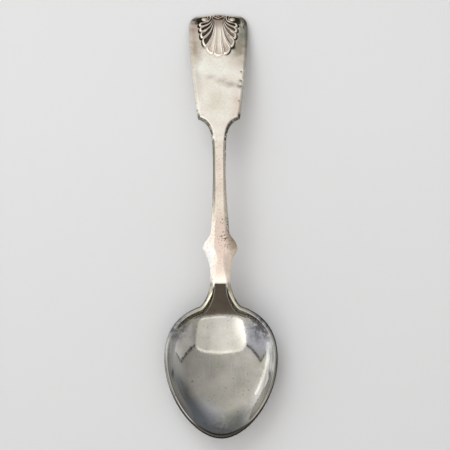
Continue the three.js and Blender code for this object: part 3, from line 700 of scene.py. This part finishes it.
# Painted shade on the border of the shoulders
painted_shoulder_shade = ramp(plate_edge, 0.15, 0.45) * fade(plate_y, 29.6, 31)
plate_soot_and_shade = np.maximum(ground * middle, 0.85 * patch(plate_rings, (4.3, 51.2), (1.2, 1.0)))
plate_soot_and_shade = np.maximum(plate_soot_and_shade, 0.7 * painted_shoulder_shade * ramp(plate_y, 24.5, 27))
plate_flecks_and_shade = painted_shoulder_shade * 0.9
for x, y, radius, depth in NICKS:
    dent = np.exp(-((plate_x - x) ** 2 + (plate_y - y) ** 2) / radius**2) * is_top
    plate_rings[..., 2] -= depth * dent
    plate_flecks_and_shade = np.maximum(plate_flecks_and_shade, NICK_FLECKS * dent)
side_film_and_shade = np.where(plate_x > 0, np.interp(plate_y, *RIGHT_EDGE_FILM_AND_SHADE), LEFT_EDGE_FILM_AND_SHADE)
side_film_and_shade = side_film_and_shade * ramp(plate_y, 28, 32)
rings_solid(
    "silver_handle_end", plate_rings, (True, False), slot="dull_silver",
    replaced=("handle_end",), material=worn_silver("dull_silver_plate", PLATE_STAINS),
    values={
        "soot_and_shade": plate_soot_and_shade, "flecks_and_shade": plate_flecks_and_shade,
        # Film and painted darker reflection along the plate's edges
        "edge_film_and_shade": ramp(plate_edge, 0.05, 0.5) * side_film_and_shade
        * (1 - 0.8 * ramp(plate_y, 61, 62)),
        "hatched": np.maximum(patch(plate_rings, (-7.1, 60.2), (1.5, 2.2)),
                              patch(plate_rings, (7.2, 59.2), (1.9, 3.4))),
        "pitted": np.full(plate_x.shape, 0.1)})

# The shell: eleven lobes in relief, struck from a die that cut each flute and left a thin
# rim round it. Tarnish stays in the flutes and the rims are rubbed bright, and painted shade
# lies on one side of the rubbed flutes.
LOBE_CELLS, ALONG_CELLS = 20, 120
ROOT_HALF, ROOT_RISE, LOBE_BEND, LOBE_DROOP, SKEW = 1.95, 0.6, 0.04, 0.55, 0.03
# Height of the relief at its highest and at the ends of its lines, and how its edge is round
CREST, CREST_EDGE, RIM_ROUND, RIM_FOOT = 0.6, 0.34, 0.3, 0.35
# The rim's half width where a lobe has its usual half width, the least and the most of it,
# and where a flute's slope begins and ends from the side and from the tip, in rim widths
RIM_HALF, LOBE_HALF, LOBE_MOST, RIM_RANGE = 0.3, 0.85, 2.0, (0.2, 1.35)
SIDE_SLOPE, TIP_SLOPE = (0.85, 1.4), (1.8, 2.6)
# For each lobe from the left, how deep its flute is and how much soot lies in it
FLUTE_DEPTHS = (0.32, 0.34, 0.34, 0.32, 0.2, 0.14, 0.2, 0.3, 0.32, 0.34, 0.32)
FLUTE_SOOT = (1, 1, 0.96, 0.94, 0.25, 0.18, 0.3, 0.42, 0.68, 0.92, 1)
# The central flutes' share of their depth, and where along a lobe it grows to the whole
CENTRAL_SHARE, CENTRAL_FULL = 0.35, (0.6, 0.92)
# How deep the base is sunk in the plate, and the groove between the rims of two lobes
SHELL_SINK, GAP_DEPTH, GAP_HALF, GAP_SOOT = 0.4, 0.13, 0.16, 0.5
# Soot at the root, and painted shade on one side of flutes with less soot than this
ROOT_SOOT, LEE_SHADE, LEE_AT, LEE_HALF, RUBBED_BELOW = 0.6, 0.7, -0.45, 0.45, 0.75


def seated(x, v, h):
    """Places a point of the ornament: x across, v up the plate from the shell's root and h
    above its face, in the plate's sloping plane."""
    seat_z = END_TOP + PLATE_SLOPE * (Y_END - SEAT_Y)
    y = SEAT_Y + v * math.cos(SHELL_TILT) + h * math.sin(SHELL_TILT)
    z = seat_z - v * math.sin(SHELL_TILT) + h * math.cos(SHELL_TILT)
    return np.stack([x, y, z], -1)


def shell_points():
    """Lines fan out from the root, each a quadratic Bezier curve that first runs down the
    handle and then bends out to the lobe's edge. A flute sinks between the rims, which keep
    an even width but narrow toward the root, with a thin groove where the rims of two lobes
    meet, and the central flutes stay shallow until near their tips. The outer side of each
    rim is a quarter of an ellipse. Soot lies in the flutes, the grooves and at the root, and
    painted shade lies on one side of a flute that is rubbed."""
    fan = np.linspace(-1, 1, LOBES * LOBE_CELLS + 1)[:, None]
    lobe = np.clip(np.floor((fan + 1) / 2 * LOBES), 0, LOBES - 1).astype(int)
    inside = ((fan + 1) / 2 * LOBES - lobe) * 2 - 1
    along = np.linspace(0, 1, ALONG_CELLS + 1)[None, :]
    angle = fan * SHELL_FAN
    tip = shell_edge(angle)
    end_x, end_v = np.sin(angle) * tip, -np.cos(angle) * tip
    root_x, root_v = np.sign(fan) * np.sqrt(np.abs(fan)) * ROOT_HALF, ROOT_RISE * fan**2
    bend_x, bend_v = root_x + LOBE_BEND * end_x, 0.6 * end_v - LOBE_DROOP
    x = (1 - along) ** 2 * root_x + 2 * along * (1 - along) * bend_x + along**2 * end_x
    v = (1 - along) ** 2 * root_v + 2 * along * (1 - along) * bend_v + along**2 * end_v

    half = np.hypot(np.gradient(x, axis=0), np.gradient(v, axis=0)) * LOBE_CELLS / 2
    half = np.minimum(half, LOBE_MOST)
    run = np.hypot(np.gradient(x, axis=1), np.gradient(v, axis=1))
    to_tip = np.cumsum(run[:, ::-1], 1)[:, ::-1] - run
    to_side = (1 - np.abs(inside)) * half
    rim = RIM_HALF * np.clip(half / LOBE_HALF, *RIM_RANGE)
    sunk = ramp(to_side, rim * SIDE_SLOPE[0], rim * SIDE_SLOPE[1])
    sunk = sunk * ramp(to_tip, RIM_HALF * TIP_SLOPE[0], RIM_HALF * TIP_SLOPE[1])
    sunk = sunk * ramp(along, 0.01, 0.1)
    central = np.abs(lobe - LOBES // 2) < 2
    share = lerp(CENTRAL_SHARE, 1, ramp(along, *CENTRAL_FULL))
    sunk = np.where(central, sunk * share, sunk)
    gap = fade(to_side, 0, GAP_HALF) * ramp(along, 0.3, 0.7) * (np.abs(fan) < 0.99)
    is_end_lobe = np.abs(fan) > 1 - 1 / LOBES
    to_end = np.minimum(to_tip, (1 - np.abs(fan)) * LOBES * half)
    outer = np.where(is_end_lobe, to_end, to_tip)
    rounded = np.sqrt(1 - (1 - np.clip(outer / RIM_ROUND, 0, 1)) ** 2)
    height = lerp(CREST_EDGE, CREST, np.sin(math.pi * np.clip(along, 0, 1)) ** 0.5)
    height = height * lerp(RIM_FOOT, 1, rounded) - np.array(FLUTE_DEPTHS)[lobe] * sunk
    height = height - GAP_DEPTH * gap

    soot_and_shade = np.array(FLUTE_SOOT)[lobe]
    # Painted shade on one side of the flutes that are rubbed
    lee_shade = np.clip(1 - np.abs(inside - LEE_AT) / LEE_HALF, 0, 1)
    lee_shade = lee_shade * (soot_and_shade < RUBBED_BELOW) * fade(along, 0.65, 0.98)
    soot_and_shade = np.maximum(sunk * (soot_and_shade + LEE_SHADE * lee_shade), ROOT_SOOT * fade(along, 0.0, 0.3))
    return x, v - SKEW * x, height, np.maximum(soot_and_shade, GAP_SOOT * gap)


def shell_solid():
    """The relief on top, a wall round its rim and a flat base sunk a little in the plate."""
    x, v, height, soot_and_shade = shell_points()
    top = seated(x, v, height)
    rim = np.concatenate([
        np.arange(top.shape[1]), np.arange(1, top.shape[0]) * top.shape[1] + top.shape[1] - 1,
        (top.shape[0] - 1) * top.shape[1] + np.arange(top.shape[1] - 2, -1, -1),
        np.arange(top.shape[0] - 2, 0, -1) * top.shape[1]])
    base = seated(x.ravel()[rim], v.ravel()[rim], np.full(len(rim), -SHELL_SINK))
    faces = grid_faces(*top.shape[:2], False)
    first = top.shape[0] * top.shape[1]
    below = first + np.arange(len(rim))
    walls = np.stack([rim, below, np.roll(below, -1), np.roll(rim, -1)], -1)
    faces += walls.tolist() + [below.tolist()]
    points = np.concatenate([top.reshape(-1, 3), base])
    return points, faces, np.concatenate([soot_and_shade.ravel(), np.full(len(rim), 1.0)])


# Struck silver: bright and warm where fingers rub it, blushed and then brown to black with
# old tarnish where they can't reach, in speckles of half a millimetre. The same dark also
# paints shade on one side of the rubbed flutes.
struck_silver, tree, shader = bare_silver("struck_silver")
speckle = blotches(tree, millimetres(tree), 2.2, 0.3, 0.75, 4)
uneven = node(tree, "Math", (speckle, 0.25, 0.9), operation="MULTIPLY_ADD")
soot_and_shade = node(tree, "Attribute", {}, "Fac", attribute_name="soot_and_shade")
soot_and_shade = node(tree, "Math", (soot_and_shade, uneven), operation="MULTIPLY")
soot_and_shade = node(tree, "Math", (soot_and_shade, 1.0), operation="MINIMUM")
blushed = node(tree, "MapRange", {"Value": soot_and_shade, "From Max": 0.25})
black = node(tree, "MapRange", {"Value": soot_and_shade, "From Min": 0.25})
wire(tree, shader, {
    "Base Color": layered(
        tree, "FFF8EC", (speckle, 1, "EDE0D1"), (blushed, 1, "D3C4B5"),
        (black, 1, layered(tree, "2A231C", (speckle, 1, "42362B")))),
    "Roughness": node(tree, "Math", (soot_and_shade, 0.2, 0.26), operation="MULTIPLY_ADD")})

shell_top, shell_faces, shell_soot_and_shade = shell_solid()
solid("silver_shell", shell_top, shell_faces, struck_silver, "struck_silver",
      replaced=("shell",), values={"soot_and_shade": shell_soot_and_shade})

# The scrolls: beside the root two ridges curl round each bead and run down into the first
# lobe, and two straight ridges meet in a V at the middle of the end. The die struck them.
RIDGE_SECTION, RIDGE_STEPS, RIDGE_SMOOTH = 10, 64, 9


def ridge(name, x, v, half, height):
    """A half-round ridge carried along a smooth curve through the given points, and tapered
    at both ends: at each step the section runs from the left foot over the top to the right
    foot and back below."""
    t = np.linspace(0, 1, RIDGE_STEPS)

    def smooth(values):
        """The values at even steps between the points, and their running mean."""
        fine = np.interp(t, np.linspace(0, 1, len(values)), values)
        padded = np.pad(fine, RIDGE_SMOOTH // 2, mode="reflect", reflect_type="odd")
        return np.convolve(padded, np.ones(RIDGE_SMOOTH) / RIDGE_SMOOTH, mode="valid")

    fine_x, fine_v = smooth(x), smooth(v)
    run = np.stack([np.gradient(fine_x), np.gradient(fine_v)], -1)
    run /= np.linalg.norm(run, axis=1)[:, None]
    turn = np.linspace(0, 2 * math.pi, RIDGE_SECTION * 2 + 1)[:-1]
    taper = np.sqrt(np.clip(np.sin(math.pi * np.clip(t, 0.02, 0.98)) * 3, 0, 1))[:, None]
    across = np.cos(turn)[None] * half * taper
    up = np.where(np.sin(turn) > 0, np.sin(turn) * height, np.sin(turn) * SHELL_SINK)
    ring = seated(fine_x[:, None] - run[:, 1:] * across, fine_v[:, None] + run[:, :1] * across,
                  up[None] * taper)
    rings_solid(name, ring, (True, True), material=struck_silver, slot="struck_silver",
                values={"soot_and_shade": np.zeros(ring.shape[:2])})


# Ridges on each side: x and v of their points, skew, half width and height
SIDE_RIDGES = {
    "outer_scroll": ((2.75, 2.42, 2.3, 2.45, 2.85, 3.5, 4.3),
                     (1.75, 1.3, 0.7, 0.1, -0.45, -0.9, -1.2), SKEW, 0.17, 0.42),
    "inner_scroll": ((3.6, 3.3, 3.02, 3.1, 3.5, 4.3), (1.6, 1.2, 0.5, -0.15, -0.6, -0.75),
                     SKEW, 0.1, 0.25),
    "root_line": ((1.95, 1.75, 1.72), (1.3, 0.8, 0.2), 0, 0.1, 0.3),
}
SIDES = ((-1, "left"), (1, "right"))
for side, word in SIDES:
    for label, (x, v, skew, half, height) in SIDE_RIDGES.items():
        ridge(f"{word}_{label}", side * np.array(x), np.array(v) - skew * side * np.array(x),
              half, height)
ridge("end_chevron", (-1.95, -1.3, -0.6, 0, 0.6, 1.3, 1.95),
      (1.65, 1.1, 0.65, 0.45, 0.65, 1.1, 1.65), 0.11, 0.4)
ridge("end_inner_chevron", (-0.7, -0.35, 0, 0.35, 0.7), (1.6, 1.4, 1.25, 1.4, 1.6), 0.08, 0.2)

# The beads: two oval domes of solid silver in the eyes of the scrolls, struck from the same
# die as the shell and a little tarnished.
BEAD_X, BEAD_V, BEAD_HEIGHT, BEAD_SOOT = 4.1, 0.15, 0.6, 0.3
BEAD_ACROSS, BEAD_ALONG = 0.9, 0.65
BEAD_AROUND, BEAD_UP = 32, 12


def bead(name, side, solid_name):
    """A half ellipsoid, longest across the handle, closed by a flat base."""
    around = np.linspace(0, 2 * math.pi, BEAD_AROUND + 1)[:-1][None]
    up = np.linspace(0, math.pi / 2, BEAD_UP + 1)[:, None]
    x = side * BEAD_X + BEAD_ACROSS * np.cos(up) * np.cos(around)
    v = BEAD_V - SKEW * side * BEAD_X / 2 + BEAD_ALONG * np.cos(up) * np.sin(around)
    dome = seated(x, v, BEAD_HEIGHT * np.sin(up) + 0 * around)
    base = seated(x[:1], v[:1], np.full_like(x[:1], -SHELL_SINK))
    ring = np.concatenate([base, dome])
    rings_solid(name, ring, (True, False), material=struck_silver, slot="struck_silver",
                replaced=(solid_name,), values={"soot_and_shade": np.full(ring.shape[:2], BEAD_SOOT)})


for side, word in SIDES:
    bead(f"{word}_silver_bead", side, f"{word}_bead")

# The table: a wide sheet of pale matt card that the spoon lies on, with painted shade that
# makes it a little darker toward the bowl. Its places are in metres.
TABLE_HALF, TABLE_SHADE_START, TABLE_SHADE_END = 3.0, 0.03, -0.07
pale_card = bpy.data.materials.new("pale_card")
pale_card.use_nodes = True
tree = pale_card.node_tree
along = node(tree, "SeparateXYZ", {0: node(tree, "TexCoord", {}, "Object")}, "Y")
# Painted shade: the card's colour darkens toward the bowl
painted_shade_toward_bowl = node(tree, "MapRange", {
    "Value": along, "From Min": TABLE_SHADE_START, "From Max": TABLE_SHADE_END})
wire(tree, tree.nodes["Principled BSDF"], {
    "Base Color": layered(tree, "C8C7C6", (painted_shade_toward_bowl, 1, "C2C1C0")),
    "Roughness": 0.9, "Specular IOR Level": 0.1})
table_mesh = bpy.data.meshes.new("pale_table")
corners = np.array([[-1, -1], [1, -1], [1, 1], [-1, 1]]) * TABLE_HALF
table_mesh.from_pydata([(x, y, 0) for x, y in corners], [], [(0, 1, 2, 3)])
table_mesh.materials.append(pale_card)
table = bpy.data.objects.new("pale_table", table_mesh)
bpy.context.scene.collection.objects.link(table)

# The light: a soft room, brighter on the left and dusky low behind the handle. A bright panel
# stands in front of the spoon with a strip of light along its near and far edge, a lamp hangs
# at the back left, and dark and grey cards give the polished bowl its dark reflections.
BOWL_MIDDLE = np.array([0, -0.042, 0.002])
LAMP_TINT = (0.95, 1.0, 1.03)
world = bpy.data.worlds.new("soft_room")
bpy.context.scene.world = world
world.use_nodes = True
tree = world.node_tree
way = node(tree, "TexCoord", {}, "Generated")
across, beyond, up = node(tree, "SeparateXYZ", {0: way}).node.outputs
glow = node(tree, "MapRange", {
    "Value": across, "From Min": -0.6, "From Max": 0.7, "To Min": 1.25, "To Max": 0.62})
far = node(tree, "Math", (across, 0.4, beyond), operation="MULTIPLY_ADD")
far = node(tree, "MapRange", {"Value": far, "From Min": 0.32, "From Max": 0.62})
low = node(tree, "MapRange", {"Value": up, "From Min": 0.7, "From Max": 0.28})
dusk = node(tree, "Math", (far, low), operation="MULTIPLY")
wire(tree, tree.nodes["Background"], {
    "Color": layered(tree, "FFFFFF", (dusk, 1, "A2A7AB")), "Strength": glow})


def toward(x_angle, y_angle, distance):
    """The place at a distance from the middle of the bowl whose direction leans from straight
    up by those degrees toward +X and toward +Y."""
    way = np.array([math.tan(math.radians(x_angle)), math.tan(math.radians(y_angle)), 1])
    return BOWL_MIDDLE + way / np.linalg.norm(way) * distance


def lamp(name, place, width, depth, radiance):
    """A broad flat lamp that faces the bowl, as bright as a white card times its radiance."""
    data = bpy.data.lights.new(name, "AREA")
    data.shape, data.size, data.size_y = "RECTANGLE", width, depth
    data.energy = radiance * math.pi * width * depth
    data.color = LAMP_TINT
    made = bpy.data.objects.new(name, data)
    made.location = place
    facing = Vector(BOWL_MIDDLE) - Vector(place)
    made.rotation_euler = facing.to_track_quat("-Z", "Y").to_euler()
    made.visible_camera = False
    bpy.context.scene.collection.objects.link(made)
    return made


def card(name, corners, shade, strength=1.0):
    """A flat screen with the given corners, which shows its shade to reflections alone."""
    mesh = bpy.data.meshes.new(name)
    mesh.from_pydata([list(corner) for corner in corners], [], [tuple(range(len(corners)))])
    paint = bpy.data.materials.new(name)
    paint.use_nodes = True
    wire(paint.node_tree, paint.node_tree.nodes["Principled BSDF"], {
        "Base Color": "000000", "Specular IOR Level": 0, "Emission Color": shade,
        "Emission Strength": strength})
    mesh.materials.append(paint)
    made = bpy.data.objects.new(name, mesh)
    made.visible_camera = False
    bpy.context.scene.collection.objects.link(made)
    return paint.node_tree


# The panel's edges as slopes from straight up, and heights and distances in metres
PANEL_NEAR, PANEL_FAR, PANEL_HALF, PANEL_BULGE, PANEL_CORNER = -0.14, -1.48, 0.76, 0.09, 0.24
PANEL_POINTS, PANEL_HEIGHT, STRIP_HEIGHT = 61, 0.75, 0.74
LAMP_DISTANCE, CARD_DISTANCE, EDGE_DISTANCE = 0.8, 0.85, 0.84
FRONT_HALF, FRONT_Y, FRONT_LOW, FRONT_HIGH = 0.5, -0.8, 0.005, 0.47


def panel_edges():
    """The front panel's near and far edges, as sideways and lengthwise slopes seen from the
    bowl. The near edge bulges toward the spoon by the square of x, and both turn in at the
    corners by a root of the sixth power."""
    x = PANEL_HALF * np.sin(np.linspace(-math.pi / 2, math.pi / 2, PANEL_POINTS))
    u = np.abs(x / PANEL_HALF)
    corner = PANEL_CORNER * (1 - np.clip(1 - u**6, 0, 1) ** 0.4)
    return x, PANEL_NEAR - PANEL_BULGE * u**2 - corner, PANEL_FAR + corner


def sky_card(name, x, y, height, strength=1.0):
    """A level white card above the bowl with corners at the given slopes from straight up."""
    corners = [BOWL_MIDDLE + np.array([a, b, 1]) * height for a, b in zip(x, y)]
    return card(name, corners, "FFFFFF", strength)


panel_x, panel_near, panel_far = panel_edges()
panel = sky_card("front_panel", np.concatenate([panel_x, panel_x[-2:0:-1]]),
                 np.concatenate([panel_near, panel_far[-2:0:-1]]), PANEL_HEIGHT)
# The panel is brighter on the left, and most of all round its left corner
where = node(panel, "TexCoord", {}, "Object")
bright = node(panel, "MapRange", {
    "Value": node(panel, "SeparateXYZ", {0: where}), "From Min": 0.02, "From Max": 0.24,
    "To Min": 1.85, "To Max": 1.4})
corner_glow = spots(panel, where, ((-0.58, -0.8, 0.75), (0.36, 0.95, 1)))
bright = node(panel, "Math", (corner_glow, 2.4, bright), operation="MULTIPLY_ADD")
wire(panel, panel.nodes["Principled BSDF"], {"Emission Strength": bright})
# Strips of light along its near and far edge, which leave out the corners: width, strength
middle_part = slice(8, -8)
for name, edge, width, strength in (
        ("near_light", panel_near, -0.045, 2.5), ("far_light", panel_far, 0.06, 3.4)):
    x, y = panel_x[middle_part], edge[middle_part]
    sky_card(name, np.concatenate([x, x[::-1]]), np.concatenate([y, y[::-1] + width]),
             STRIP_HEIGHT, strength)
lamp("left_strip", toward(-73, 18, LAMP_DISTANCE), 0.62, 0.09, 1.0)
table_lamp = lamp("table_lamp", toward(-30, 46, LAMP_DISTANCE), 0.5, 0.5, 3.2)
table_lamp.visible_glossy = False
card("front_dark_card", [
    (-FRONT_HALF, FRONT_Y, FRONT_LOW), (FRONT_HALF, FRONT_Y, FRONT_LOW),
    (FRONT_HALF, FRONT_Y, FRONT_HIGH), (-FRONT_HALF, FRONT_Y, FRONT_HIGH)], "8A8076")


def strip_card(name, first, last, half, shade):
    """A narrow card between two directions, half degrees wide to each side of the line."""
    run = np.array(last) - np.array(first)
    beside = np.array([-run[1], run[0]]) / np.hypot(*run) * half
    corners = [first + beside, first - beside, last - beside, last + beside]
    card(name, [toward(*corner, EDGE_DISTANCE) for corner in corners], shade)


# At each side a pale card fills the wall of the bowl, with a dark card along its inner edge
# and a grey one along its outer edge
for side, word in SIDES:
    card(f"{word}_corner_card", [
        toward(x_angle * side, y_angle, CARD_DISTANCE) for x_angle, y_angle in (
            (39, -19), (61, 2), (70, -10), (74, -60), (48, -52))], "FBFBFF")
    strip_card(f"{word}_inner_edge", (37 * side, -19), (61 * side, 2.5), 1.7, "3C3C3A")
    strip_card(f"{word}_outer_edge", (61 * side, 2.5), (69 * side, -14), 1.3, "7A7A78")

# The camera: almost straight above, tipped toward the end of the handle, with a long lens,
# whose focal length is in pixels of the 450-pixel frame. Places are in millimetres.
CAMERA_TILT, CAMERA_ROLL, LENS_PIXELS, FRAME_PIXELS, SENSOR = 8.0, -0.51, 1369.4, 450, 36
CAMERA_X, CAMERA_Y, CAMERA_DISTANCE = 1.46, -0.93, 400
camera_data = bpy.data.cameras.new("camera")
camera_data.sensor_width = SENSOR
camera_data.lens = SENSOR * LENS_PIXELS / FRAME_PIXELS
camera = bpy.data.objects.new("camera", camera_data)
tilt = math.radians(CAMERA_TILT)
camera.location = (
    CAMERA_X * MM, (CAMERA_Y - CAMERA_DISTANCE * math.sin(tilt)) * MM,
    CAMERA_DISTANCE * MM * math.cos(tilt))
camera.rotation_mode = "QUATERNION"
camera.rotation_quaternion = (
    Matrix.Rotation(tilt, 4, "X") @ Matrix.Rotation(math.radians(CAMERA_ROLL), 4, "Z")
).to_quaternion()
bpy.context.scene.collection.objects.link(camera)
bpy.context.scene.camera = camera
bpy.context.scene.view_settings.view_transform = "Standard"
